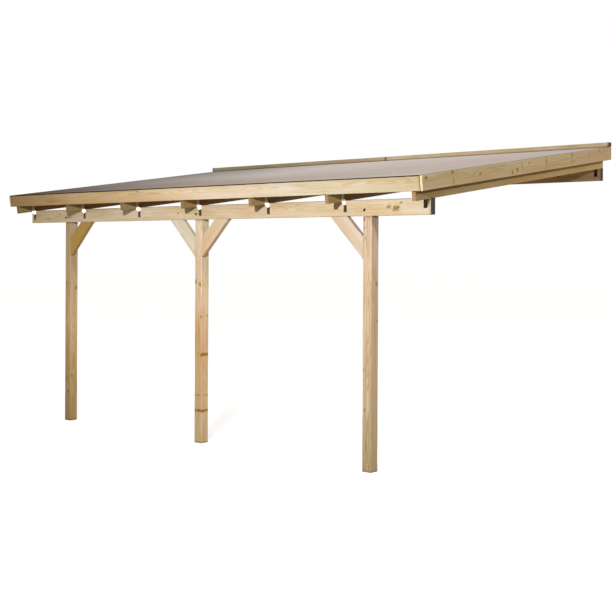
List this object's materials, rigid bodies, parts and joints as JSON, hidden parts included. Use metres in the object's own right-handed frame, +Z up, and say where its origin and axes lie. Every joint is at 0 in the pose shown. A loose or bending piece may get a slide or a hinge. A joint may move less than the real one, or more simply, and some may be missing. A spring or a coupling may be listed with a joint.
{
  "type": "garden pergola",
  "caption": "Lean-to timber garden pergola: sloping boarded roof with felt on rafters, carried by a wall plate and by a braced front beam on square posts.",
  "frame": {"origin": "centre of the wall plate's flat rear face, the face that is bolted to the house wall", "axes": "+X along the wall to the right as seen from the garden, +Y into the wall, +Z up"},
  "size_m": [5.43, 3.013, 2.8101],
  "materials": {
    "post_pine": "planed pressure-treated pine, eased edges",
    "frame_pine": "planed pressure-treated pine with knots",
    "rafter_pine": "planed pressure-treated pine, darker in the shade",
    "board_pine": "planed pressure-treated pine boards",
    "felt": "fine mineral-surfaced bitumen roofing felt",
    "zinc": "hot-dip galvanised sheet steel"
  },
  "bodies": {
    "root": {"post_left": "post_pine", "post_middle": "post_pine", "post_right": "post_pine", "front_beam": "frame_pine", "brace_left": "frame_pine", "brace_middle_left": "frame_pine", "brace_middle_right": "frame_pine", "brace_right": "frame_pine", "wall_plate": "frame_pine", "rafter_1": "rafter_pine", "rafter_2": "rafter_pine", "rafter_3": "rafter_pine", "rafter_4": "rafter_pine", "rafter_5": "rafter_pine", "rafter_6": "rafter_pine", "rafter_7": "rafter_pine", "front_fascia": "board_pine", "barge_board_left": "board_pine", "barge_board_right": "board_pine", "roof_boards": "board_pine", "roofing_felt": "felt", "wall_batten_left": "board_pine", "wall_batten_right": "board_pine", "beam_anchor_1": "zinc", "beam_anchor_2": "zinc", "beam_anchor_3": "zinc", "beam_anchor_4": "zinc", "beam_anchor_5": "zinc", "beam_anchor_6": "zinc", "beam_anchor_7": "zinc", "plate_anchor_1": "zinc", "plate_anchor_2": "zinc", "plate_anchor_3": "zinc", "plate_anchor_4": "zinc", "plate_anchor_5": "zinc", "plate_anchor_6": "zinc", "plate_anchor_7": "zinc"}
  },
  "joints": []
}
